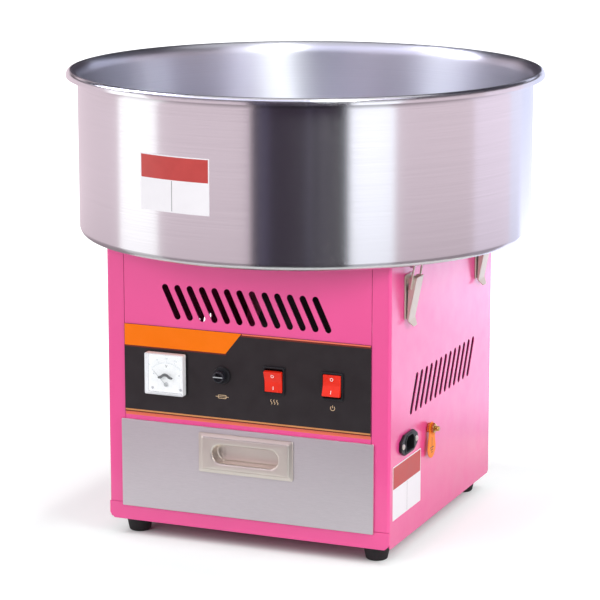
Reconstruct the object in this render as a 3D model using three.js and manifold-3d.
// Tabletop candyfloss machine: a pink sheet-metal cabinet with a drawer, a control panel,
// a motor-driven floss head and a lift-off steel bowl held by four over-centre latches.
// Millimetres, +Z up, +X to the right seen from the front, +Y to the back.
// The origin is on the floor under the centre of the bowl.

import * as THREE from 'three';
import { mergeVertices } from 'three/addons/utils/BufferGeometryUtils.js';
import Module from 'manifold-3d';

// Cabinet
const CABINET_WIDTH = 325;
const CABINET_DEPTH = 330;
const CABINET_HEIGHT = 303.7;
const SHEET = 1.5;
const BEND_RADIUS = 3.5;
const STRIP_WIDTH = 20.5;
const BASE_FLANGE = 19;
const BASE_CORNER = 7;
const PANEL_LIP = 12;

// Clearance between pieces that touch, and between a hole and what turns or passes in it
const FIT = 0.3;

// How far a cutting body, or a joined one, runs past the surface that it meets
const OVER = 1;

// Where the middle of a corner lies that is drawn with two flats, as a share of its size
const CORNER_MID = 0.3;

// Feet
const FOOT_HEIGHT = 18;
const FOOT_TOP_RADIUS = 15;
const FOOT_BOTTOM_RADIUS = 11.5;
const FOOT_INSET_X = 23.5;
const FOOT_INSET_Y = 26;
const FOOT_EDGE = 2.5;

// Ventilation slots
const SLOT_COUNT = 13;
const SLOT_WIDTH = 7;
const FRONT_SLOT_PITCH = 14.36;
const FRONT_SLOT_LEAN = 14.3;
const FRONT_SLOT_RISE = 30.6;
const FRONT_SLOT_MARGIN = 12.1;
const SIDE_SLOT_PITCH = 15.35;
const SIDE_SLOT_LEAN = 17.5;
const SIDE_SLOT_RISE = 35;
const SIDE_SLOT_LEVEL = 135.8;

// Drawer
const DRAWER_FRONT_WIDTH = 291;
const DRAWER_FRONT_HEIGHT = 97.5;
const DRAWER_FRONT_PROUD = 3;
const DRAWER_LAP = 2.5;
const DRAWER_CORNER = 0.8;
const DRAWER_SHEET = 1.2;
const TRAY_LENGTH = 285;
const TRAY_SIDE_GAP = 6;
const TRAY_TOP_GAP = 10;
const RUNNER_RISE = 3.2;
const RUNNER_LAP = 5;
const RUNNER_WEB = 18;
const RUNNER_SETBACK = 15;

// Flush pull on the drawer
const PULL_WIDTH = 109;
const PULL_HEIGHT = 43.5;
const PULL_X = 1;
const PULL_DROP = 27.5;
const PULL_PLATE = 3.4;
const PULL_BEVEL = 2.4;
const PULL_CORNER = 2;
const RECESS_WIDTH = 76;
const RECESS_HEIGHT = 20;
const RECESS_DEPTH = 15;
const RECESS_WALL = 1.3;

// Control panel, whose low edge hangs behind the drawer front, below its own lip
const PANEL_LAP = 1;
const PANEL_SKIRT = 2.5;
const OVERLAY_THICKNESS = 0.8;
const OVERLAY_HEIGHT = 97.5;
const OVERLAY_MARGIN = 8.5;
const CONTROL_RISE = 50.5;
const METER_X = -90.5;
const METER_DROP = 3;
const FUSE_X = -27;
const HEAT_X = 33;
const POWER_X = 99;

// Panel meter
const METER_SIZE = 45;
const METER_CORNER = 1.5;
const METER_FLANGE = 2.5;
const METER_BARREL_RADIUS = 19;
const METER_BARREL_DEPTH = 28;
const LENS_DEPTH = 8;
const LENS_WALL = 1.2;
const DIAL_THICKNESS = 0.6;
const DIAL_CORNER = 1;
const NEEDLE_DROP = 12;
const NEEDLE_LENGTH = 23;
const NEEDLE_WIDTH = 0.8;
const NEEDLE_HUB_RADIUS = 2.2;
const NEEDLE_PIN_RADIUS = 0.8;
const NEEDLE_STANDOFF = 2.6;
const NEEDLE_REST_DEG = 45;

// Panel fuse holder
const FUSE_FLANGE_RADIUS = 9.5;
const FUSE_FLANGE = 3;
const FUSE_BARREL_RADIUS = 6.4;
const FUSE_BARREL_DEPTH = 42;
const FUSE_CARRIER_RADIUS = 3.7;
const FUSE_CARRIER_LENGTH = 34;
const FUSE_CAP_RADIUS = 6.8;
const FUSE_CAP_LENGTH = 8;
const FUSE_CAP_SOCKET = 3;
const FUSE_CAP_TEETH = 18;
const FUSE_CAP_KNURL = 0.5;
const FUSE_CAP_SLOT = 1.4;

// Rocker switches
const BEZEL_WIDTH = 25;
const BEZEL_HEIGHT = 30;
const BEZEL_THICKNESS = 2;
const BEZEL_LIP = 1.2;
const BEZEL_CORNER = 2;
const HOUSING_CORNER = 1;
const POCKET_CORNER = 0.5;
const SWITCH_WALL = 1.1;
const SWITCH_DEPTH = 22;
const ROCKER_HALF_HEIGHT = 11.4;
const ROCKER_CREST = 7;
const ROCKER_WAIST = 5.2;
const ROCKER_SHOULDER = 2.5;
const ROCKER_TAIL = 6;
const ROCKER_PIVOT_DEPTH = 4.1;
const ROCKER_CLEARANCE = 3;
const ROCKER_TILT_DEG = 10;

// Power inlet, earth bolt and its tag on the right side
const INLET_Y = -113;
const INLET_LEVEL = 105;
const INLET_WIDTH = 27;
const INLET_HEIGHT = 19.5;
const INLET_DEPTH = 24;
const INLET_WALL = 1.6;
const INLET_CAVITY_DEPTH = 18;
const INLET_EAR_SPAN = 40;
const INLET_EAR_RADIUS = 5;
const INLET_FLANGE = 3;
const INLET_SHOULDER = 1.5;
const INLET_CHAMFER = 0.55;
const INLET_SCREW_RADIUS = 1.7;
const CONTACT_LENGTH = 11;
const CONTACT_WIDTH = 2;
const CONTACT_HEIGHT = 4;
const CONTACT_SPREAD = 7;
const CONTACT_RISE = 3;
const BOLT_Y = -48;
const BOLT_RADIUS = 3;
const BOLT_LENGTH = 13;
const BOLT_NUT_RADIUS = 6;
const BOLT_NUT_THICKNESS = 3.4;
const TAG_WIDTH = 24;
const TAG_LENGTH = 40;
const TAG_THICKNESS = 1;
const TAG_TOP_RADIUS = 7;

// Latches: n is the distance out from the side panel, z is from the lever's pivot
const LATCH_SPREAD = 114;
const LATCH_DROP = 22.7;
const LATCH_SHEET = 1.2;
const PLATE_WIDTH = 25;
const PLATE_ABOVE = 6;
const PLATE_BELOW = 41;
const PLATE_CORNER = 2;
const LEVER_PIVOT_OUT = 8.5;
const LEVER_WIDTH = 21;
const LEVER_LENGTH = 42;
const LEVER_HEAD = 4;
const LEVER_TOP_OUT = 13.7;
const LEVER_FOOT_OUT = 4.2;
const LEVER_INNER_TOP = 4.7;
const LEVER_INNER_FOOT = 2.9;
const TOE_OUT = 4.6;
const TOE_DROP = 7.4;
const EAR_RADIUS = 2.6;
const EAR_SPACING = 1;
const EAR_ROOT = 1.8;
const PIVOT_PIN_RADIUS = 1.5;
const BAIL_ARM = 8;
const BAIL_ARM_DEG = 10;
const BAIL_WIRE_RADIUS = 1.1;
const BAIL_BEND = 2.6;
const BAIL_BEND_LIMIT = 0.8;
const BAIL_STEPS = 26;
const BAIL_SIDE_GAP = 0.8;
const BAIL_TO_BOWL = 3.4;
const BAIL_TO_CATCH = 1;

// Catches under the bowl
const CATCH_WIDTH = 18;
const CATCH_SHEET = 1.5;
const CATCH_START = 1.5;
const CATCH_LEG_OUT = 6;
const CATCH_LEG_DROP = 8.7;
const CATCH_REACH = 3.5;
const CATCH_HOOK = 3;
const CATCH_TONGUE = 1.2;

// Bowl
const BOWL_RADIUS = 247.5;
const BOWL_HEIGHT = 178;
const BOWL_WALL = 1.5;
const BOWL_CORNER = 8;
const BOWL_HOLE_RADIUS = 92;
const BOWL_HOLE_LIP = 8;
const RIM_CREST_OUT = 8.5;
const RIM_BEAD_OUT = 12.5;
const RIM_DEPTH = 14;
const RIM_CURL = 7.5;
const BOWL_SEGMENTS = 56;

// Drive under the top plate
const DECK_HOLE_RADIUS = 24;
const SHAFT_RADIUS = 6;
const SHAFT_TAIL = 8;
const BRACKET_DROP = 56;
const BRACKET_THICKNESS = 6;
const BRACKET_RADIUS = 62;
const BRACKET_POST_RADIUS = 5;
const BRACKET_POST_CIRCLE = 54;
const BRACKET_POSTS = 4;
const BEARING_RADIUS = 15;
const MOTOR_RADIUS = 52;
const MOTOR_HEIGHT = 84;
const MOTOR_FIN_DEPTH = 2.5;
const MOTOR_FINS = 2;
const MOTOR_END_RADIUS = 30;
const MOTOR_CONE = 0.16;
const MOTOR_FIN_START = 0.2;
const MOTOR_FIN_ZONE = 0.6;
const MOTOR_NECK = 0.9;
const MOTOR_SEGMENTS = 24;
const RING_HUB_RADIUS = 17;
const RING_HUB_HEIGHT = 34;
const RING_HUB_GAP = 8;
const RING_FLANGE = 2;
const RING_WIDTH = 8;
const RING_THICKNESS = 3;
const BRUSH_SIZE = 6;
const BRUSH_REACH = 12;
const BRUSH_BLOCK = 18;
const BRUSH_BLOCK_DEPTH = 10.8;

// Floss head
const HEAD_CLEARANCE = 30;
const HEAD_RADIUS = 76;
const HEAD_PLATE = 3;
const HEAD_HUB_RADIUS = 16;
const HEAD_HUB_DEPTH = 18;
const HEAD_RIM = 4;
const HEAD_CHAMFER = 2;
const BAND_RADIUS = 72;
const BAND_THICKNESS = 2;
const BAND_HEIGHT = 36;
const BAND_SLOTS = 20;
const BAND_SLOT_WIDTH = 5;
const BAND_SLOT_MARGIN = 6;
const HEATER_RADIUS = 60;
const HEATER_TUBE = 2.6;
const HEATER_SIDES = 6;
const HEATER_SEAT_WIDTH = 8;
const HEATER_SEAT_HEIGHT = 12;
const CAP_RISE = 20;
const CAP_MOUTH_RADIUS = 27;
const CAP_SHEET = 2;
const CAP_SKIRT = 6;
const ROUND_SEGMENTS = 36;
const SMALL_SEGMENTS = 20;
const ROD_SIDES = 20;
const PIN_SIDES = 10;

// Levels and planes that follow from the sizes above
const halfWidth = CABINET_WIDTH / 2;
const halfDepth = CABINET_DEPTH / 2;
const frontFace = -halfDepth;
const baseLevel = FOOT_HEIGHT;
const flangeTop = baseLevel + BASE_FLANGE;
const deckTop = baseLevel + CABINET_HEIGHT;
const deckBottom = deckTop - SHEET;
const panelTop = deckBottom - FIT;
const bowlBottom = deckTop + FIT;
const stripInner = halfWidth - STRIP_WIDTH;
const insetHalf = stripInner - FIT;
const drawerFrontBottom = flangeTop - DRAWER_LAP;
const drawerFrontTop = drawerFrontBottom + DRAWER_FRONT_HEIGHT;
const frontPanelBottom = drawerFrontTop - PANEL_LAP;
const shelfBottom = frontPanelBottom + PANEL_SKIRT;
const overlayBottom = frontPanelBottom + OVERLAY_MARGIN;
const overlayTop = overlayBottom + OVERLAY_HEIGHT;
const overlayFace = frontFace - FIT - OVERLAY_THICKNESS;
const controlSeat = overlayFace - FIT;
const controlLevel = overlayBottom + CONTROL_RISE;
const meterLevel = controlLevel - METER_DROP;
const latchLevel = deckTop - LATCH_DROP;

// Colours and surfaces
const FINISH = {
  pinkPaint: { color: 0xf768ad, roughness: 0.38, metalness: 0.0 },
  brushedSteel: { color: 0xc9c6ca, roughness: 0.34, metalness: 1.0 },
  zincSteel: { color: 0xb9bcc0, roughness: 0.42, metalness: 1.0 },
  satinNickel: { color: 0xd8d2c8, roughness: 0.3, metalness: 1.0 },
  charcoalFilm: { color: 0x2b2a2d, roughness: 0.45, metalness: 0.0 },
  blackPlastic: { color: 0x17171a, roughness: 0.4, metalness: 0.0 },
  redPlastic: { color: 0xd9261e, roughness: 0.28, metalness: 0.0 },
  whiteCard: { color: 0xf1f0ee, roughness: 0.6, metalness: 0.0 },
  clearPlastic: { color: 0xf4f7f8, roughness: 0.06, metalness: 0.0, transparent: true, opacity: 0.3 },
  blackRubber: { color: 0x1c1a1c, roughness: 0.8, metalness: 0.0 },
  brass: { color: 0xc89a3f, roughness: 0.3, metalness: 1.0 },
  orangeCard: { color: 0xf08a24, roughness: 0.5, metalness: 0.0 },
  castAluminium: { color: 0xb4b7ba, roughness: 0.45, metalness: 1.0 },
  motorEnamel: { color: 0x4a5058, roughness: 0.5, metalness: 0.2 },
  phenolic: { color: 0x3a2419, roughness: 0.55, metalness: 0.0 },
  nichrome: { color: 0x77716c, roughness: 0.5, metalness: 1.0 },
};

const wasm = await Module();
wasm.setup();

// Signed volume of a triangle mesh, negative when its faces point in
function signedVolume(positions, triangles) {
  const [a, b, c] = [new THREE.Vector3(), new THREE.Vector3(), new THREE.Vector3()];
  let volume = 0;
  for (let i = 0; i < triangles.length; i += 3) {
    a.fromArray(positions, triangles[i] * 3);
    b.fromArray(positions, triangles[i + 1] * 3);
    c.fromArray(positions, triangles[i + 2] * 3);
    volume += a.dot(b.cross(c)) / 6;
  }
  return volume;
}

// A geometry as a solid that can be joined and cut
function solid(geometry) {
  const bare = new THREE.BufferGeometry();
  bare.setAttribute('position', geometry.getAttribute('position').clone());
  if (geometry.index) bare.setIndex(geometry.index.clone());
  const merged = mergeVertices(bare, 1e-4);
  const positions = new Float32Array(merged.getAttribute('position').array);
  const index = merged.index.array;
  const triangles = [];
  for (let i = 0; i < index.length; i += 3) {
    const [a, b, c] = [index[i], index[i + 1], index[i + 2]];
    if (a !== b && b !== c && c !== a) triangles.push(a, b, c);
  }
  if (signedVolume(positions, triangles) < 0) {
    for (let i = 0; i < triangles.length; i += 3) {
      [triangles[i + 1], triangles[i + 2]] = [triangles[i + 2], triangles[i + 1]];
    }
  }
  const triVerts = new Uint32Array(triangles);
  return new wasm.Manifold(new wasm.Mesh({ numProp: 3, vertProperties: positions, triVerts }));
}

// A solid back as a geometry
function geometryOf(body) {
  const mesh = body.getMesh();
  const geometry = new THREE.BufferGeometry();
  geometry.setAttribute('position', new THREE.BufferAttribute(new Float32Array(mesh.vertProperties), 3));
  geometry.setIndex(new THREE.BufferAttribute(new Uint32Array(mesh.triVerts), 1));
  geometry.computeVertexNormals();
  return geometry;
}

const join = (first, ...others) => others.reduce((sum, other) => sum.add(other), first);
const cut = (first, ...others) => others.reduce((rest, other) => rest.subtract(other), first);

// A box between two corners
function block([x0, x1], [y0, y1], [z0, z1]) {
  const geometry = new THREE.BoxGeometry(x1 - x0, y1 - y0, z1 - z0);
  return solid(geometry.translate((x0 + x1) / 2, (y0 + y1) / 2, (z0 + z1) / 2));
}

const extruded = (shape, depth, curveSegments) =>
  new THREE.ExtrudeGeometry(shape, { depth, bevelEnabled: false, curveSegments });

// A plan outline (x, y) raised from z0 to z1
function alongZ(shape, z0, z1, curveSegments = 6) {
  return solid(extruded(shape, z1 - z0, curveSegments).translate(0, 0, z0));
}

// A front outline (x, z) carried from y0 back to y1
function alongY(shape, y0, y1, curveSegments = 6) {
  return solid(extruded(shape, y1 - y0, curveSegments).rotateX(Math.PI / 2).translate(0, y1, 0));
}

// A side outline (y, z) carried from x0 to x1
function alongX(shape, x0, x1, curveSegments = 6) {
  const turn = new THREE.Matrix4().set(0, 0, 1, 0, 1, 0, 0, 0, 0, 1, 0, 0, 0, 0, 0, 1);
  return solid(extruded(shape, x1 - x0, curveSegments).applyMatrix4(turn).translate(x0, 0, 0));
}

// A profile of [radius, z] points turned about the Z axis
function turned(profile, segments = ROUND_SEGMENTS) {
  const points = [...profile, profile[0]].map(([radius, z]) => new THREE.Vector2(radius, z));
  return solid(new THREE.LatheGeometry(points, segments).rotateX(Math.PI / 2));
}

// Corners of a circle drawn with flat sides, alike for a bar and for the hole it passes in
function circleCorners([u, v], radius, sides) {
  return Array.from({ length: sides }, (_, i) => {
    const angle = (i * Math.PI * 2) / sides;
    return new THREE.Vector2(u + radius * Math.cos(angle), v + radius * Math.sin(angle));
  });
}

// A round bar along one axis, through a point, from start to end
function rod(axis, radius, start, end, centre, sides = ROD_SIDES) {
  const along = { x: alongX, y: alongY, z: alongZ }[axis];
  return along(new THREE.Shape(circleCorners(centre, radius, sides)), start, end);
}

// A rectangle with rounded corners, as a shape or as a hole
function roundedRect(x0, x1, y0, y1, radius, path = new THREE.Shape()) {
  path.moveTo(x0 + radius, y0);
  path.lineTo(x1 - radius, y0);
  path.absarc(x1 - radius, y0 + radius, radius, -Math.PI / 2, 0);
  path.lineTo(x1, y1 - radius);
  path.absarc(x1 - radius, y1 - radius, radius, 0, Math.PI / 2);
  path.lineTo(x0 + radius, y1);
  path.absarc(x0 + radius, y1 - radius, radius, Math.PI / 2, Math.PI);
  path.lineTo(x0, y0 + radius);
  path.absarc(x0 + radius, y0 + radius, radius, Math.PI, Math.PI * 1.5);
  return path;
}

// A slot with round ends between two end centres, the second above the first
function slot([u0, v0], [u1, v1], width, path = new THREE.Shape()) {
  const lean = Math.atan2(v1 - v0, u1 - u0);
  path.absarc(u1, v1, width / 2, lean - Math.PI / 2, lean + Math.PI / 2);
  path.absarc(u0, v0, width / 2, lean + Math.PI / 2, lean + Math.PI * 1.5);
  return path;
}

const roundHole = (centre, radius, sides = ROD_SIDES) =>
  new THREE.Path(circleCorners(centre, radius, sides));
const outline = (points) => new THREE.Shape(points.map(([u, v]) => new THREE.Vector2(u, v)));

const machine = new THREE.Group();

// One named sub-part with its own material
function addPart(parent, name, body, finish) {
  const mesh = new THREE.Mesh(geometryOf(body), new THREE.MeshStandardMaterial(finish));
  mesh.name = name;
  parent.add(mesh);
  return mesh;
}

// End centres of one leaning slot of a row that is centred on zero
function leaningSlot(index, pitch, lean, rise, level) {
  const middle = (index - (SLOT_COUNT - 1) / 2) * pitch;
  return [[middle - lean / 2, level], [middle + lean / 2, level + rise]];
}

// Base pan: floor, low inner flanges and the pink front flange across the whole width
function basePan() {
  const inner = halfWidth - BASE_CORNER - FIT;
  const rear = halfDepth - SHEET - FIT;
  const mid = BASE_CORNER * CORNER_MID;
  const flange = outline([
    [-halfWidth, flangeTop], [-halfWidth, baseLevel + BASE_CORNER], [-halfWidth + mid, baseLevel + mid],
    [-halfWidth + BASE_CORNER, baseLevel], [halfWidth - BASE_CORNER, baseLevel],
    [halfWidth - mid, baseLevel + mid], [halfWidth, baseLevel + BASE_CORNER], [halfWidth, flangeTop],
  ]);
  const [start, top] = [frontFace + SHEET / 2, flangeTop - SHEET * 2];
  const tray = block([-inner, inner], [start, rear], [baseLevel, top]);
  const hollow = block([-inner + SHEET, inner - SHEET], [start - SHEET, rear - SHEET],
    [baseLevel + SHEET, top + SHEET]);
  return join(cut(tray, hollow), alongY(flange, frontFace, frontFace + SHEET));
}

// Side panel: one folded sheet with a strip turned in at the front and at the back
function sidePanel(side) {
  const [outer, inner] = [halfWidth, halfWidth - SHEET];
  const [front, back] = [-halfDepth, halfDepth];
  const [bend, tight] = [BEND_RADIUS, BEND_RADIUS - SHEET];
  const fold = new THREE.Shape();
  fold.moveTo(stripInner, front);
  fold.lineTo(outer - bend, front);
  fold.absarc(outer - bend, front + bend, bend, -Math.PI / 2, 0);
  fold.lineTo(outer, back - bend);
  fold.absarc(outer - bend, back - bend, bend, 0, Math.PI / 2);
  fold.lineTo(stripInner, back);
  fold.lineTo(stripInner, back - SHEET);
  fold.lineTo(outer - bend, back - SHEET);
  fold.absarc(outer - bend, back - bend, tight, Math.PI / 2, 0, true);
  fold.lineTo(inner, front + bend);
  fold.absarc(outer - bend, front + bend, tight, 0, -Math.PI / 2, true);
  fold.lineTo(stripInner, front + SHEET);
  const cuts = [
    block([0, halfWidth + SHEET], [front - SHEET, front + SHEET + FIT], [0, flangeTop + FIT]),
  ];
  for (let i = 0; i < SLOT_COUNT; i += 1) {
    const level = baseLevel + SIDE_SLOT_LEVEL;
    const [low, high] = leaningSlot(i, SIDE_SLOT_PITCH, SIDE_SLOT_LEAN, SIDE_SLOT_RISE, level);
    cuts.push(alongX(slot(low, high, SLOT_WIDTH), inner - SHEET, outer + SHEET, 2));
  }
  if (side > 0) {
    const [halfY, halfZ] = [INLET_WIDTH / 2 + FIT, INLET_HEIGHT / 2 + FIT];
    const level = baseLevel + INLET_LEVEL;
    cuts.push(block([inner - SHEET, outer + SHEET], [INLET_Y - halfY, INLET_Y + halfY],
      [level - halfZ, level + halfZ]));
    cuts.push(rod('x', BOLT_RADIUS + FIT, inner - SHEET, outer + SHEET, [BOLT_Y, level], PIN_SIDES));
  }
  const right = cut(alongZ(fold, baseLevel, panelTop, 2), ...cuts);
  return side > 0 ? right : right.mirror([1, 0, 0]);
}

// Front panel: ventilation slots above, holes for the meter, fuse and switches below
function frontPanel() {
  const shape = outline([[-insetHalf, frontPanelBottom], [insetHalf, frontPanelBottom],
    [insetHalf, panelTop], [-insetHalf, panelTop]]);
  for (let i = 0; i < SLOT_COUNT; i += 1) {
    const level = overlayTop + FRONT_SLOT_MARGIN;
    const [low, high] = leaningSlot(i, FRONT_SLOT_PITCH, -FRONT_SLOT_LEAN, FRONT_SLOT_RISE, level);
    shape.holes.push(slot(low, high, SLOT_WIDTH, new THREE.Path()));
  }
  shape.holes.push(...controlHoles());
  const face = alongY(shape, frontFace, frontFace + SHEET, 2);
  const lip = block([-insetHalf, insetHalf], [frontFace, frontFace + PANEL_LIP],
    [shelfBottom, shelfBottom + SHEET]);
  return join(face, lip);
}

// Holes that the panel and its overlay share
function controlHoles() {
  const halfX = BEZEL_WIDTH / 2 - BEZEL_LIP + FIT;
  const halfZ = BEZEL_HEIGHT / 2 - BEZEL_LIP + FIT;
  const switchHole = (x) => roundedRect(x - halfX, x + halfX, controlLevel - halfZ, controlLevel + halfZ,
    HOUSING_CORNER, new THREE.Path());
  return [
    roundHole([METER_X, meterLevel], METER_BARREL_RADIUS + FIT),
    roundHole([FUSE_X, controlLevel], FUSE_BARREL_RADIUS + FIT),
    switchHole(HEAT_X),
    switchHole(POWER_X),
  ];
}

// Control overlay: one dark film plate across the panel between the strips
function controlOverlay() {
  const shape = outline([[-insetHalf, overlayBottom], [insetHalf, overlayBottom],
    [insetHalf, overlayTop], [-insetHalf, overlayTop]]);
  shape.holes.push(...controlHoles());
  return alongY(shape, overlayFace, frontFace - FIT);
}

// Rear panel with the same slots as the sides
function rearPanel() {
  const shape = outline([[-insetHalf, baseLevel], [insetHalf, baseLevel],
    [insetHalf, panelTop], [-insetHalf, panelTop]]);
  for (let i = 0; i < SLOT_COUNT; i += 1) {
    const level = baseLevel + SIDE_SLOT_LEVEL;
    const [low, high] = leaningSlot(i, SIDE_SLOT_PITCH, SIDE_SLOT_LEAN, SIDE_SLOT_RISE, level);
    shape.holes.push(slot(low, high, SLOT_WIDTH, new THREE.Path()));
  }
  return alongY(shape, halfDepth - SHEET, halfDepth, 2);
}

// Top plate with the hole for the shaft
function topPlate() {
  const shape = roundedRect(-halfWidth, halfWidth, -halfDepth, halfDepth, BEND_RADIUS);
  shape.holes.push(roundHole([0, 0], DECK_HOLE_RADIUS, ROUND_SEGMENTS));
  return alongZ(shape, deckBottom, deckTop, 3);
}

// Shelf between the drawer and the electrical compartment
function drawerShelf() {
  const half = halfWidth - SHEET - FIT;
  const front = frontFace + PANEL_LIP + FIT;
  const rear = halfDepth - BEND_RADIUS - FIT;
  return block([-half, half], [front, rear], [shelfBottom, shelfBottom + SHEET]);
}

// One rubber foot, turned, with a rounded lower edge
function foot() {
  const mid = FOOT_EDGE * CORNER_MID;
  return turned([
    [0, 0], [FOOT_BOTTOM_RADIUS - FOOT_EDGE, 0], [FOOT_BOTTOM_RADIUS - mid, mid],
    [FOOT_BOTTOM_RADIUS, FOOT_EDGE], [FOOT_TOP_RADIUS, FOOT_HEIGHT - FIT], [0, FOOT_HEIGHT - FIT],
  ], SMALL_SEGMENTS);
}

// Drawer runner: an angle rail on the side panel, with a ledge under the tray
const ledgeTop = flangeTop + RUNNER_RISE + SHEET;
const trayHalf = stripInner - TRAY_SIDE_GAP;

function drawerRunner() {
  const wall = halfWidth - SHEET - FIT;
  const low = flangeTop + RUNNER_RISE;
  const front = frontFace + RUNNER_SETBACK;
  const rear = halfDepth - RUNNER_SETBACK;
  const ledge = block([trayHalf - RUNNER_LAP, wall], [front, rear], [low, ledgeTop]);
  const web = block([wall - SHEET, wall], [front, rear], [low, ledgeTop + RUNNER_WEB]);
  return join(ledge, web);
}

// Drawer: tray, steel front and flush pull
const drawerBack = frontFace - FIT;
const drawerFace = drawerBack - DRAWER_FRONT_PROUD;
const pullLevel = drawerFrontTop - PULL_DROP;
const cupHalfWidth = RECESS_WIDTH / 2 + RECESS_WALL;
const cupHalfHeight = RECESS_HEIGHT / 2 + RECESS_WALL;

function cupHole() {
  const [halfX, halfZ] = [cupHalfWidth + FIT, cupHalfHeight + FIT];
  return roundedRect(PULL_X - halfX, PULL_X + halfX, pullLevel - halfZ, pullLevel + halfZ, halfZ);
}

function drawerTray() {
  const [bottom, top] = [ledgeTop + FIT, drawerFrontTop - TRAY_TOP_GAP];
  const front = drawerBack;
  const rear = front + TRAY_LENGTH;
  const outer = block([-trayHalf, trayHalf], [front, rear], [bottom, top]);
  const inner = block([-trayHalf + DRAWER_SHEET, trayHalf - DRAWER_SHEET],
    [front + DRAWER_SHEET, rear - DRAWER_SHEET], [bottom + DRAWER_SHEET, top + DRAWER_SHEET]);
  return cut(outer, inner, alongY(cupHole(), front - DRAWER_SHEET, front + DRAWER_SHEET * 2));
}

function drawerFront() {
  const half = DRAWER_FRONT_WIDTH / 2;
  const plate = roundedRect(-half, half, drawerFrontBottom, drawerFrontTop, DRAWER_CORNER);
  const body = alongY(plate, drawerFace, drawerBack - FIT, 2);
  const core = block([-half + DRAWER_SHEET, half - DRAWER_SHEET],
    [drawerFace + DRAWER_SHEET, drawerBack + FIT],
    [drawerFrontBottom + DRAWER_SHEET, drawerFrontTop - DRAWER_SHEET]);
  const rib = block([-trayHalf, trayHalf], [drawerFace + DRAWER_SHEET / 2, drawerBack - FIT],
    [ledgeTop + FIT, drawerFrontTop - TRAY_TOP_GAP]);
  return cut(join(cut(body, core), rib), alongY(cupHole(), drawerFace - OVER, drawerBack + OVER));
}

function drawerHandle() {
  const [halfX, halfZ] = [PULL_WIDTH / 2, PULL_HEIGHT / 2];
  const seat = drawerFace - FIT;
  const face = seat - PULL_PLATE;
  const plateSpan = (inset) => roundedRect(PULL_X - halfX + inset, PULL_X + halfX - inset,
    pullLevel - halfZ + inset, pullLevel + halfZ - inset, PULL_CORNER);
  const plate = join(
    alongY(plateSpan(0), seat - PULL_PLATE / 2, seat, 2),
    alongY(plateSpan(PULL_BEVEL), face, seat - PULL_PLATE / 2, 2),
  );
  const cup = roundedRect(PULL_X - cupHalfWidth, PULL_X + cupHalfWidth,
    pullLevel - cupHalfHeight, pullLevel + cupHalfHeight, cupHalfHeight);
  const recess = roundedRect(PULL_X - RECESS_WIDTH / 2, PULL_X + RECESS_WIDTH / 2,
    pullLevel - RECESS_HEIGHT / 2, pullLevel + RECESS_HEIGHT / 2, RECESS_HEIGHT / 2);
  const cupEnd = face + RECESS_DEPTH;
  return cut(join(plate, alongY(cup, seat - PULL_PLATE / 2, cupEnd + RECESS_WALL)),
    alongY(recess, face - OVER, cupEnd));
}

// Panel meter: flanged body, card dial, clear cover and needle
const dialBack = controlSeat - METER_FLANGE - FIT;
const needleLevel = meterLevel - NEEDLE_DROP;
const meterSquare = (half, corner) => roundedRect(METER_X - half, METER_X + half,
  meterLevel - half, meterLevel + half, corner);

function meterHousing() {
  const half = METER_SIZE / 2;
  const flange = meterSquare(half, METER_CORNER);
  const barrel = rod('y', METER_BARREL_RADIUS, controlSeat - METER_FLANGE / 2,
    controlSeat + METER_BARREL_DEPTH, [METER_X, meterLevel]);
  const pivot = rod('y', NEEDLE_PIN_RADIUS + FIT, controlSeat - METER_FLANGE - OVER, controlSeat,
    [METER_X, needleLevel], PIN_SIDES);
  return cut(join(alongY(flange, controlSeat - METER_FLANGE, controlSeat, 2), barrel), pivot);
}

function meterDial() {
  const half = METER_SIZE / 2 - LENS_WALL - FIT;
  const card = meterSquare(half, DIAL_CORNER);
  card.holes.push(roundHole([METER_X, needleLevel], NEEDLE_PIN_RADIUS + FIT, PIN_SIDES));
  return alongY(card, dialBack - DIAL_THICKNESS, dialBack, 4);
}

function meterLens() {
  const [half, inner] = [METER_SIZE / 2, METER_SIZE / 2 - LENS_WALL];
  return cut(alongY(meterSquare(half, METER_CORNER), dialBack - LENS_DEPTH, dialBack, 2),
    alongY(meterSquare(inner, DIAL_CORNER), dialBack - LENS_DEPTH + LENS_WALL, dialBack + OVER, 2));
}

// The needle is drawn straight up from its pivot, and its mesh is turned to the rest angle
function meterNeedle() {
  const face = -DIAL_THICKNESS - NEEDLE_STANDOFF;
  const blade = outline([[-NEEDLE_WIDTH / 2, 0], [NEEDLE_WIDTH / 2, 0],
    [NEEDLE_WIDTH / 4, NEEDLE_LENGTH], [-NEEDLE_WIDTH / 4, NEEDLE_LENGTH]]);
  return join(
    alongY(blade, face, face + NEEDLE_WIDTH / 2),
    rod('y', NEEDLE_HUB_RADIUS, face, face + NEEDLE_STANDOFF - FIT, [0, 0], PIN_SIDES),
    rod('y', NEEDLE_PIN_RADIUS, face + NEEDLE_WIDTH / 2, FIT + METER_FLANGE / 2, [0, 0], PIN_SIDES),
  );
}

// Fuse holder, the carrier that slides out of it, and the cap that turns on the carrier
const fuseFace = controlSeat - FUSE_FLANGE;

function fuseHolder() {
  const centre = [FUSE_X, controlLevel];
  const bottom = controlSeat + FUSE_BARREL_DEPTH;
  return cut(
    join(rod('y', FUSE_FLANGE_RADIUS, fuseFace, controlSeat, centre),
      rod('y', FUSE_BARREL_RADIUS, controlSeat - OVER, bottom, centre)),
    rod('y', FUSE_CARRIER_RADIUS + FIT, fuseFace - OVER, bottom - SHEET, centre, PIN_SIDES),
  );
}

const fuseCarrier = () => rod('y', FUSE_CARRIER_RADIUS, fuseFace - FUSE_CAP_SOCKET,
  fuseFace + FUSE_CARRIER_LENGTH, [FUSE_X, controlLevel], PIN_SIDES);

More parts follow.
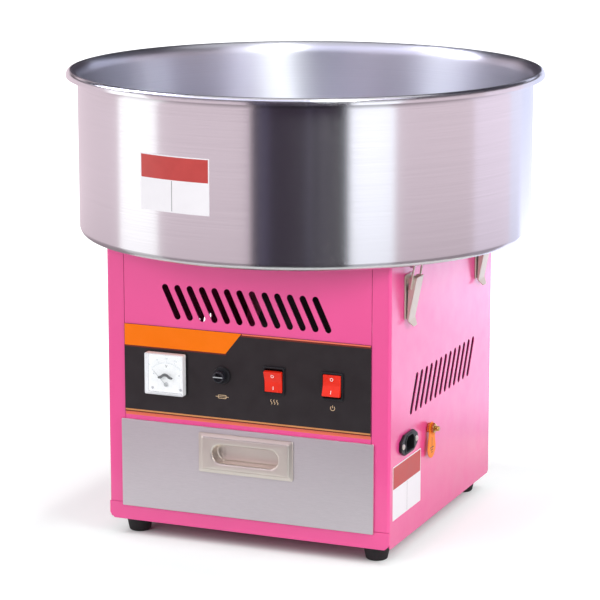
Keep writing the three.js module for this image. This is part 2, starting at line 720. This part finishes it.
function fuseCap() {
  const knurl = [];
  for (let i = 0; i < FUSE_CAP_TEETH * 2; i += 1) {
    const angle = (i * Math.PI) / FUSE_CAP_TEETH;
    const radius = i % 2 ? FUSE_CAP_RADIUS : FUSE_CAP_RADIUS - FUSE_CAP_KNURL;
    knurl.push([FUSE_X + radius * Math.cos(angle), controlLevel + radius * Math.sin(angle)]);
  }
  const back = fuseFace - FIT;
  const front = back - FUSE_CAP_LENGTH;
  const socketEnd = fuseFace - FUSE_CAP_SOCKET - FIT;
  return cut(alongY(outline(knurl), front, back),
    rod('y', FUSE_CARRIER_RADIUS + FIT, socketEnd, back + OVER, [FUSE_X, controlLevel], PIN_SIDES),
    block([FUSE_X - FUSE_CAP_RADIUS, FUSE_X + FUSE_CAP_RADIUS], [front - OVER, front + OVER],
      [controlLevel - FUSE_CAP_SLOT / 2, controlLevel + FUSE_CAP_SLOT / 2]));
}

// Rocker switches: a black body with a pocket, and a red rocker that tilts in it
const pocketHalfX = BEZEL_WIDTH / 2 - BEZEL_LIP - SWITCH_WALL;
const pocketHalfZ = BEZEL_HEIGHT / 2 - BEZEL_LIP - SWITCH_WALL;

function switchBody(x) {
  const rect = (halfX, halfZ, radius) => roundedRect(x - halfX, x + halfX,
    controlLevel - halfZ, controlLevel + halfZ, radius);
  const front = controlSeat - BEZEL_THICKNESS;
  const back = controlSeat + SWITCH_DEPTH;
  const bezel = alongY(rect(BEZEL_WIDTH / 2, BEZEL_HEIGHT / 2, BEZEL_CORNER), front, controlSeat, 3);
  const housing = alongY(rect(BEZEL_WIDTH / 2 - BEZEL_LIP, BEZEL_HEIGHT / 2 - BEZEL_LIP, HOUSING_CORNER),
    controlSeat - OVER, back, 2);
  const pocket = alongY(rect(pocketHalfX, pocketHalfZ, POCKET_CORNER), front - OVER,
    front + ROCKER_PIVOT_DEPTH + ROCKER_TAIL + ROCKER_CLEARANCE, 2);
  return cut(join(bezel, housing), pocket);
}

// The rocker is drawn level about its pivot, and its mesh is tilted to the rest state
function rocker() {
  const side = outline([
    [-ROCKER_CREST, ROCKER_HALF_HEIGHT], [-ROCKER_WAIST, 0], [-ROCKER_CREST, -ROCKER_HALF_HEIGHT],
    [-ROCKER_SHOULDER, -ROCKER_HALF_HEIGHT], [ROCKER_TAIL, -ROCKER_HALF_HEIGHT / 3],
    [ROCKER_TAIL, ROCKER_HALF_HEIGHT / 3], [-ROCKER_SHOULDER, ROCKER_HALF_HEIGHT],
  ]);
  return alongX(side, -(pocketHalfX - FIT), pocketHalfX - FIT);
}

// Power inlet: flange with two screw ears, socket with three contacts
function inletSocket() {
  const level = baseLevel + INLET_LEVEL;
  const [halfY, halfZ] = [INLET_WIDTH / 2, INLET_HEIGHT / 2];
  const seat = halfWidth + FIT;
  const face = seat + INLET_FLANGE;
  const earEnd = INLET_EAR_SPAN / 2 + INLET_EAR_RADIUS;
  const shoulder = halfZ + INLET_SHOULDER;
  const ears = outline([
    [INLET_Y - halfY, level - shoulder], [INLET_Y + halfY, level - shoulder],
    [INLET_Y + earEnd, level - INLET_EAR_RADIUS], [INLET_Y + earEnd, level + INLET_EAR_RADIUS],
    [INLET_Y + halfY, level + shoulder], [INLET_Y - halfY, level + shoulder],
    [INLET_Y - earEnd, level + INLET_EAR_RADIUS], [INLET_Y - earEnd, level - INLET_EAR_RADIUS],
  ]);
  const [openY, openZ] = [halfY - INLET_WALL, halfZ - INLET_WALL];
  const chamfer = openZ * INLET_CHAMFER;
  const mouth = outline([
    [INLET_Y - openY, level - openZ], [INLET_Y + openY, level - openZ],
    [INLET_Y + openY, level + openZ - chamfer], [INLET_Y + openY - chamfer, level + openZ],
    [INLET_Y - openY + chamfer, level + openZ], [INLET_Y - openY, level + openZ - chamfer],
  ]);
  const floor = face - INLET_CAVITY_DEPTH;
  const housing = block([face - INLET_DEPTH, seat + OVER], [INLET_Y - halfY, INLET_Y + halfY],
    [level - halfZ, level + halfZ]);
  const screwHoles = [-1, 1].map((end) => rod('x', INLET_SCREW_RADIUS, seat - OVER, face + OVER,
    [INLET_Y + (end * INLET_EAR_SPAN) / 2, level], PIN_SIDES));
  const contacts = [[-CONTACT_SPREAD, -CONTACT_RISE / 2], [0, CONTACT_RISE / 2],
    [CONTACT_SPREAD, -CONTACT_RISE / 2]].map(([y, z]) => block(
    [floor - OVER, floor + CONTACT_LENGTH],
    [INLET_Y + y - CONTACT_WIDTH / 2, INLET_Y + y + CONTACT_WIDTH / 2],
    [level + z - CONTACT_HEIGHT / 2, level + z + CONTACT_HEIGHT / 2],
  ));
  const body = join(alongX(ears, seat, face), housing);
  return join(cut(body, alongX(mouth, floor, face + OVER), ...screwHoles), ...contacts);
}

// Earth bolt: hexagon head inside, nut outside, and an end nut that keeps the tag on
const boltLevel = baseLevel + INLET_LEVEL;
const tagOut = halfWidth + FIT + BOLT_NUT_THICKNESS + FIT;

function groundBolt() {
  const centre = [BOLT_Y, boltLevel];
  const wall = halfWidth + FIT;
  const tip = wall + BOLT_LENGTH;
  const headEnd = halfWidth - SHEET - FIT;
  const endNut = tagOut + TAG_THICKNESS + FIT;
  return join(
    rod('x', BOLT_RADIUS, headEnd - OVER, tip, centre, PIN_SIDES),
    rod('x', BOLT_NUT_RADIUS, headEnd - BOLT_NUT_THICKNESS, headEnd, centre, 6),
    rod('x', BOLT_NUT_RADIUS, wall, wall + BOLT_NUT_THICKNESS, centre, 6),
    rod('x', BOLT_NUT_RADIUS, endNut, endNut + BOLT_NUT_THICKNESS, centre, 6),
  );
}

function groundTag() {
  const tag = new THREE.Shape();
  const low = boltLevel + TAG_TOP_RADIUS - TAG_LENGTH + TAG_WIDTH / 2;
  tag.absarc(BOLT_Y, boltLevel, TAG_TOP_RADIUS, 0, Math.PI);
  tag.absarc(BOLT_Y, low, TAG_WIDTH / 2, Math.PI, Math.PI * 2);
  tag.holes.push(roundHole([BOLT_Y, boltLevel], BOLT_RADIUS + FIT, PIN_SIDES));
  return alongX(tag, tagOut, tagOut + TAG_THICKNESS, 8);
}

// Latch: plate with ears and pin, lever, wire bail. The local x axis points out of the panel.
const leverInner = LEVER_WIDTH / 2 - LATCH_SHEET;
const earOuter = leverInner - EAR_SPACING;
const pinHalf = LEVER_WIDTH / 2 + FIT;
const bailHalf = LEVER_WIDTH / 2 + BAIL_SIDE_GAP + BAIL_WIRE_RADIUS;
const armAngle = THREE.MathUtils.degToRad(BAIL_ARM_DEG);
const bailPivotOut = LEVER_PIVOT_OUT - BAIL_ARM * Math.sin(armAngle);
const bailPivotUp = -BAIL_ARM * Math.cos(armAngle);
const catchTip = CATCH_LEG_OUT + CATCH_REACH;
const bailBarOut = catchTip + BAIL_TO_CATCH + BAIL_WIRE_RADIUS;
const bailBarUp = bowlBottom - BAIL_TO_BOWL - latchLevel;

function latchPlate() {
  const halfPlate = PLATE_WIDTH / 2;
  const plate = alongX(roundedRect(-halfPlate, halfPlate, -PLATE_BELOW, PLATE_ABOVE, PLATE_CORNER),
    FIT, FIT + LATCH_SHEET, 1);
  const ear = new THREE.Shape();
  ear.moveTo(FIT, -EAR_RADIUS * EAR_ROOT);
  ear.lineTo(LEVER_PIVOT_OUT, -EAR_RADIUS);
  ear.absarc(LEVER_PIVOT_OUT, 0, EAR_RADIUS, -Math.PI / 2, Math.PI / 2);
  ear.lineTo(FIT, EAR_RADIUS);
  return join(plate,
    alongY(ear, earOuter - LATCH_SHEET, earOuter, 3),
    alongY(ear, -earOuter, -earOuter + LATCH_SHEET, 3),
    rod('y', PIVOT_PIN_RADIUS, -pinHalf, pinHalf, [LEVER_PIVOT_OUT, 0], PIN_SIDES));
}

function latchLever() {
  const t = LATCH_SHEET;
  const skin = outline([
    [LEVER_TOP_OUT, LEVER_HEAD], [LEVER_TOP_OUT - t, LEVER_HEAD],
    [LEVER_FOOT_OUT - t, -LEVER_LENGTH], [LEVER_FOOT_OUT + TOE_OUT - t, -LEVER_LENGTH - TOE_DROP],
    [LEVER_FOOT_OUT + TOE_OUT, -LEVER_LENGTH - TOE_DROP + t / 2],
    [LEVER_FOOT_OUT + t / 4, -LEVER_LENGTH],
  ]);
  const cheek = outline([
    [LEVER_TOP_OUT - t / 2, LEVER_HEAD], [LEVER_INNER_TOP + t, LEVER_HEAD],
    [LEVER_INNER_TOP, LEVER_HEAD - t * 1.5], [LEVER_INNER_FOOT, -LEVER_LENGTH + t],
    [LEVER_FOOT_OUT - t / 2, -LEVER_LENGTH + t],
  ]);
  const half = LEVER_WIDTH / 2;
  return cut(
    join(alongY(skin, -half, half), alongY(cheek, leverInner, half), alongY(cheek, -half, -leverInner)),
    rod('y', PIVOT_PIN_RADIUS + FIT, -half - OVER, half + OVER, [LEVER_PIVOT_OUT, 0], PIN_SIDES),
    rod('y', BAIL_WIRE_RADIUS + FIT, -half - OVER, half + OVER, [bailPivotOut, bailPivotUp], PIN_SIDES),
  );
}

// Wire bail: drawn upright from its pivot in the plane x = 0, and its mesh leans out to the bar
function latchBail() {
  const reach = Math.hypot(bailBarOut - bailPivotOut, bailBarUp - bailPivotUp);
  const endY = leverInner - FIT;
  const corners = [[-endY, 0], [-bailHalf, 0], [-bailHalf, reach], [bailHalf, reach],
    [bailHalf, 0], [endY, 0]].map(([y, z]) => new THREE.Vector3(0, y, z));
  const path = new THREE.CurvePath();
  let from = corners[0];
  for (let i = 1; i < corners.length - 1; i += 1) {
    const [before, corner, after] = [corners[i - 1], corners[i], corners[i + 1]];
    const shortest = Math.min(corner.distanceTo(before), corner.distanceTo(after));
    const bend = Math.min(BAIL_BEND, shortest * BAIL_BEND_LIMIT);
    const enter = corner.clone().lerp(before, bend / corner.distanceTo(before));
    const leave = corner.clone().lerp(after, bend / corner.distanceTo(after));
    path.add(new THREE.LineCurve3(from, enter));
    path.add(new THREE.QuadraticBezierCurve3(enter, corner, leave));
    from = leave;
  }
  path.add(new THREE.LineCurve3(from, corners[corners.length - 1]));
  const wire = new THREE.Shape().absarc(0, 0, BAIL_WIRE_RADIUS, 0, Math.PI * 2);
  return solid(new THREE.ExtrudeGeometry(wire, { extrudePath: path, steps: BAIL_STEPS, curveSegments: 3 }));
}

// Catch under the bowl: tab, leg and a hooked lip
function bowlCatch() {
  const t = CATCH_SHEET;
  const [start, out, tip] = [CATCH_START, CATCH_LEG_OUT, catchTip];
  const top = bowlBottom - FIT;
  const lip = top - CATCH_LEG_DROP;
  const strip = outline([
    [start, top], [start, top - t], [out - t, top - t], [out - t, lip], [tip, lip],
    [tip, lip + CATCH_HOOK], [tip - CATCH_TONGUE, lip + CATCH_HOOK], [tip - CATCH_TONGUE, lip + t],
    [out, lip + t], [out, top],
  ]);
  return alongY(strip, -CATCH_WIDTH / 2, CATCH_WIDTH / 2);
}

// Bowl: one spun sheet with a round hole under the head. Its rim flares out over a crest and
// curls down to a bead, drawn point by point in shares of the rim's own sizes.
function bowl() {
  const [outer, inner] = [BOWL_RADIUS, BOWL_RADIUS - BOWL_WALL];
  const bottom = bowlBottom;
  const top = bottom + BOWL_HEIGHT;
  const crest = outer + RIM_CREST_OUT;
  const bead = outer + RIM_BEAD_OUT;
  const corner = (radius, steps, reverse) => {
    const arc = [];
    for (let i = 0; i <= steps; i += 1) {
      const angle = ((reverse ? steps - i : i) / steps) * (Math.PI / 2);
      arc.push([outer - BOWL_CORNER + radius * Math.sin(angle),
        bottom + BOWL_CORNER - radius * Math.cos(angle)]);
    }
    return arc;
  };
  const profile = [
    [BOWL_HOLE_RADIUS, bottom],
    ...corner(BOWL_CORNER, 4, false),
    [outer, top - RIM_DEPTH],
    [outer + RIM_CREST_OUT * 0.45, top - RIM_DEPTH * 0.28],
    [crest - BOWL_WALL * 0.7, top - BOWL_WALL],
    [bead - BOWL_WALL * 1.6, top - BOWL_WALL * 1.6],
    [bead - BOWL_WALL, top - RIM_CURL * 0.6],
    [bead - BOWL_WALL, top - RIM_CURL],
    [bead, top - RIM_CURL],
    [bead, top - RIM_CURL * 0.45],
    [bead - BOWL_WALL * 0.9, top - BOWL_WALL * 0.5],
    [crest, top],
    [outer + RIM_CREST_OUT * 0.3, top - BOWL_WALL * 1.4],
    [inner, top - RIM_DEPTH],
    ...corner(BOWL_CORNER - BOWL_WALL, 4, true),
    [BOWL_HOLE_RADIUS + BOWL_WALL, bottom + BOWL_WALL],
    [BOWL_HOLE_RADIUS + BOWL_WALL, bottom + BOWL_HOLE_LIP],
    [BOWL_HOLE_RADIUS, bottom + BOWL_HOLE_LIP],
  ];
  return turned(profile, BOWL_SEGMENTS);
}

// Drive: bracket under the top plate, motor, shaft, bearing, slip rings and brushes
const bracketTop = deckBottom - BRACKET_DROP + BRACKET_THICKNESS;
const bracketBottom = bracketTop - BRACKET_THICKNESS;
const motorTop = bracketBottom - FIT;
const motorBottom = motorTop - MOTOR_HEIGHT;
const headPlateBottom = bowlBottom + HEAD_CLEARANCE;
const bore = SHAFT_RADIUS + FIT;
const hubBottom = bracketTop + RING_HUB_GAP;

function motorBracket() {
  const disc = turned([[BEARING_RADIUS + FIT, bracketBottom], [BRACKET_RADIUS, bracketBottom],
    [BRACKET_RADIUS, bracketTop], [BEARING_RADIUS + FIT, bracketTop]]);
  const posts = [];
  for (let i = 0; i < BRACKET_POSTS; i += 1) {
    const angle = ((i + 0.5) * Math.PI * 2) / BRACKET_POSTS;
    const centre = [BRACKET_POST_CIRCLE * Math.cos(angle), BRACKET_POST_CIRCLE * Math.sin(angle)];
    posts.push(rod('z', BRACKET_POST_RADIUS, bracketTop - OVER, deckBottom - FIT, centre, PIN_SIDES));
  }
  return join(disc, ...posts);
}

function motorHousing() {
  const profile = [[bore, motorBottom], [MOTOR_END_RADIUS, motorBottom],
    [MOTOR_RADIUS, motorBottom + MOTOR_HEIGHT * MOTOR_CONE]];
  const finStep = (MOTOR_HEIGHT * MOTOR_FIN_ZONE) / MOTOR_FINS;
  for (let i = 0; i < MOTOR_FINS; i += 1) {
    const low = motorBottom + MOTOR_HEIGHT * MOTOR_FIN_START + i * finStep;
    profile.push([MOTOR_RADIUS, low], [MOTOR_RADIUS - MOTOR_FIN_DEPTH, low + finStep * 0.25],
      [MOTOR_RADIUS - MOTOR_FIN_DEPTH, low + finStep * 0.5], [MOTOR_RADIUS, low + finStep * 0.75]);
  }
  profile.push([MOTOR_RADIUS, motorBottom + MOTOR_HEIGHT * MOTOR_NECK],
    [MOTOR_RADIUS - MOTOR_FIN_DEPTH, motorTop], [bore, motorTop]);
  return turned(profile, MOTOR_SEGMENTS);
}

const motorShaft = () => rod('z', SHAFT_RADIUS, motorBottom - SHAFT_TAIL,
  headPlateBottom + HEAD_PLATE + SHAFT_TAIL, [0, 0]);

const shaftBearing = () => turned([[bore, bracketBottom], [BEARING_RADIUS, bracketBottom],
  [BEARING_RADIUS, bracketTop], [bore, bracketTop]], SMALL_SEGMENTS);

// Slip rings sit in two steps of an insulating hub
const ringLevel = (index) => hubBottom + RING_FLANGE
  + index * (RING_HUB_HEIGHT - RING_FLANGE * 2 - RING_WIDTH);

const slipRingHub = () => turned([[bore, hubBottom], [RING_HUB_RADIUS, hubBottom],
  [RING_HUB_RADIUS, hubBottom + RING_HUB_HEIGHT], [bore, hubBottom + RING_HUB_HEIGHT]], SMALL_SEGMENTS);

function slipRing(index) {
  const [low, high] = [ringLevel(index), ringLevel(index) + RING_WIDTH];
  const inner = RING_HUB_RADIUS + FIT;
  return turned([[inner, low], [inner + RING_THICKNESS, low], [inner + RING_THICKNESS, high],
    [inner, high]], SMALL_SEGMENTS);
}

function brushHolder() {
  const contact = RING_HUB_RADIUS + RING_THICKNESS + FIT * 2;
  const near = contact + BRUSH_REACH;
  const blockBody = block([-BRUSH_BLOCK / 2, BRUSH_BLOCK / 2], [near, near + BRUSH_BLOCK_DEPTH],
    [hubBottom, deckBottom - FIT]);
  const brushes = [0, 1].map((index) => {
    const middle = ringLevel(index) + RING_WIDTH / 2;
    return block([-BRUSH_SIZE / 2, BRUSH_SIZE / 2], [contact, near + OVER],
      [middle - BRUSH_SIZE / 2, middle + BRUSH_SIZE / 2]);
  });
  return join(blockBody, ...brushes);
}

// Floss head: base plate with hub, heater ring on its seat, slotted band, cap with the sugar mouth
const bandBottom = headPlateBottom + HEAD_PLATE + FIT;
const bandTop = bandBottom + BAND_HEIGHT;
const seatTop = headPlateBottom + HEAD_PLATE + HEATER_SEAT_HEIGHT;

function headBase() {
  const [low, high] = [headPlateBottom, headPlateBottom + HEAD_PLATE];
  const rimInner = BAND_RADIUS + FIT;
  const [seatIn, seatOut] = [HEATER_RADIUS - HEATER_SEAT_WIDTH / 2, HEATER_RADIUS + HEATER_SEAT_WIDTH / 2];
  return turned([
    [bore, low - HEAD_HUB_DEPTH], [HEAD_HUB_RADIUS, low - HEAD_HUB_DEPTH], [HEAD_HUB_RADIUS, low],
    [HEAD_RADIUS - HEAD_CHAMFER, low], [HEAD_RADIUS, low + HEAD_CHAMFER], [HEAD_RADIUS, high + HEAD_RIM],
    [rimInner, high + HEAD_RIM], [rimInner, high], [seatOut, high], [seatOut, seatTop],
    [seatIn, seatTop], [seatIn, high], [bore, high],
  ]);
}

function heaterRing() {
  const centre = [HEATER_RADIUS, seatTop + FIT + HEATER_TUBE];
  return turned(circleCorners(centre, HEATER_TUBE, HEATER_SIDES).map(({ x, y }) => [x, y]));
}

function headBand() {
  const ring = turned([[BAND_RADIUS - BAND_THICKNESS, bandBottom], [BAND_RADIUS, bandBottom],
    [BAND_RADIUS, bandTop], [BAND_RADIUS - BAND_THICKNESS, bandTop]], BAND_SLOTS * 2);
  const slots = [];
  for (let i = 0; i < BAND_SLOTS; i += 1) {
    const geometry = new THREE.BoxGeometry(BAND_THICKNESS * 6, BAND_SLOT_WIDTH,
      BAND_HEIGHT - BAND_SLOT_MARGIN * 2);
    geometry.translate(BAND_RADIUS - BAND_THICKNESS / 2, 0, (bandBottom + bandTop) / 2);
    slots.push(solid(geometry.rotateZ(((i + 0.5) * Math.PI * 2) / BAND_SLOTS)));
  }
  return cut(ring, ...slots);
}

function headCap() {
  const low = bandTop + FIT;
  const skirtInner = BAND_RADIUS + FIT;
  const top = low + CAP_RISE;
  return turned([
    [CAP_MOUTH_RADIUS, top], [CAP_MOUTH_RADIUS, top - CAP_SHEET * 2],
    [CAP_MOUTH_RADIUS + CAP_SHEET, top - CAP_SHEET * 2],
    [CAP_MOUTH_RADIUS + CAP_SHEET * 3, top - CAP_SHEET * 2.5],
    [BAND_RADIUS - BAND_THICKNESS * 2, low], [skirtInner, low], [skirtInner, low - CAP_SKIRT],
    [HEAD_RADIUS, low - CAP_SKIRT], [HEAD_RADIUS, low + CAP_SHEET / 2],
    [CAP_MOUTH_RADIUS + CAP_SHEET * 3, top - CAP_SHEET * 0.6], [CAP_MOUTH_RADIUS + CAP_SHEET, top],
  ]);
}

// Cabinet shells
addPart(machine, 'base_pan', basePan(), FINISH.pinkPaint);
addPart(machine, 'left_side_panel', sidePanel(-1), FINISH.pinkPaint);
addPart(machine, 'right_side_panel', sidePanel(1), FINISH.pinkPaint);
addPart(machine, 'front_panel', frontPanel(), FINISH.pinkPaint);
addPart(machine, 'rear_panel', rearPanel(), FINISH.pinkPaint);
addPart(machine, 'top_plate', topPlate(), FINISH.pinkPaint);
addPart(machine, 'drawer_shelf', drawerShelf(), FINISH.zincSteel);
for (const [row, sideY] of [['front', -1], ['rear', 1]]) {
  for (const [column, sideX] of [['left', -1], ['right', 1]]) {
    const mesh = addPart(machine, `${row}_${column}_foot`, foot(), FINISH.blackRubber);
    mesh.position.set(sideX * (halfWidth - FOOT_INSET_X), sideY * (halfDepth - FOOT_INSET_Y), 0);
  }
}
addPart(machine, 'right_drawer_runner', drawerRunner(), FINISH.zincSteel);
addPart(machine, 'left_drawer_runner', drawerRunner().mirror([1, 0, 0]), FINISH.zincSteel);

// Drawer
addPart(machine, 'drawer_tray', drawerTray(), FINISH.zincSteel);
addPart(machine, 'drawer_front', drawerFront(), FINISH.brushedSteel);
addPart(machine, 'drawer_handle', drawerHandle(), FINISH.satinNickel);

// Controls
addPart(machine, 'control_overlay', controlOverlay(), FINISH.charcoalFilm);
addPart(machine, 'meter_housing', meterHousing(), FINISH.blackPlastic);
addPart(machine, 'meter_dial', meterDial(), FINISH.whiteCard);
addPart(machine, 'meter_lens', meterLens(), FINISH.clearPlastic);
const needle = addPart(machine, 'meter_needle', meterNeedle(), FINISH.blackPlastic);
needle.position.set(METER_X, dialBack, needleLevel);
needle.rotation.y = -THREE.MathUtils.degToRad(NEEDLE_REST_DEG);
addPart(machine, 'fuse_holder', fuseHolder(), FINISH.blackPlastic);
addPart(machine, 'fuse_carrier', fuseCarrier(), FINISH.zincSteel);
addPart(machine, 'fuse_cap', fuseCap(), FINISH.blackPlastic);
for (const [name, x, tilt] of [['heat', HEAT_X, 1], ['power', POWER_X, -1]]) {
  addPart(machine, `${name}_switch_body`, switchBody(x), FINISH.blackPlastic);
  const mesh = addPart(machine, `${name}_rocker`, rocker(), FINISH.redPlastic);
  mesh.position.set(x, controlSeat - BEZEL_THICKNESS + ROCKER_PIVOT_DEPTH, controlLevel);
  mesh.rotation.x = tilt * THREE.MathUtils.degToRad(ROCKER_TILT_DEG);
}

// Inlet and earth bolt
addPart(machine, 'inlet_socket', inletSocket(), FINISH.blackPlastic);
addPart(machine, 'ground_bolt', groundBolt(), FINISH.brass);
addPart(machine, 'ground_tag', groundTag(), FINISH.orangeCard);

// Latches and catches, two on each side
const bailLean = Math.atan2(bailBarOut - bailPivotOut, bailBarUp - bailPivotUp);
for (const [row, sideY] of [['front', -1], ['rear', 1]]) {
  for (const [column, sideX] of [['left', -1], ['right', 1]]) {
    const place = new THREE.Group();
    place.position.set(sideX * halfWidth, sideY * LATCH_SPREAD, 0);
    place.rotation.z = sideX > 0 ? 0 : Math.PI;
    machine.add(place);
    addPart(place, `${row}_${column}_bowl_catch`, bowlCatch(), FINISH.zincSteel);
    const latch = new THREE.Group();
    latch.position.z = latchLevel;
    place.add(latch);
    addPart(latch, `${row}_${column}_latch_plate`, latchPlate(), FINISH.satinNickel);
    addPart(latch, `${row}_${column}_latch_lever`, latchLever(), FINISH.satinNickel);
    const bail = addPart(latch, `${row}_${column}_latch_bail`, latchBail(), FINISH.satinNickel);
    bail.position.set(bailPivotOut, 0, bailPivotUp);
    bail.rotation.y = bailLean;
  }
}

// Drive, floss head and bowl
addPart(machine, 'motor_bracket', motorBracket(), FINISH.zincSteel);
addPart(machine, 'motor_housing', motorHousing(), FINISH.motorEnamel);
addPart(machine, 'motor_shaft', motorShaft(), FINISH.zincSteel);
addPart(machine, 'shaft_bearing', shaftBearing(), FINISH.brushedSteel);
addPart(machine, 'slip_ring_hub', slipRingHub(), FINISH.phenolic);
addPart(machine, 'lower_slip_ring', slipRing(0), FINISH.brass);
addPart(machine, 'upper_slip_ring', slipRing(1), FINISH.brass);
addPart(machine, 'brush_holder', brushHolder(), FINISH.phenolic);
addPart(machine, 'head_base', headBase(), FINISH.castAluminium);
addPart(machine, 'heater_ring', heaterRing(), FINISH.nichrome);
addPart(machine, 'head_band', headBand(), FINISH.brushedSteel);
addPart(machine, 'head_cap', headCap(), FINISH.castAluminium);
addPart(machine, 'bowl', bowl(), FINISH.brushedSteel);

export default machine;
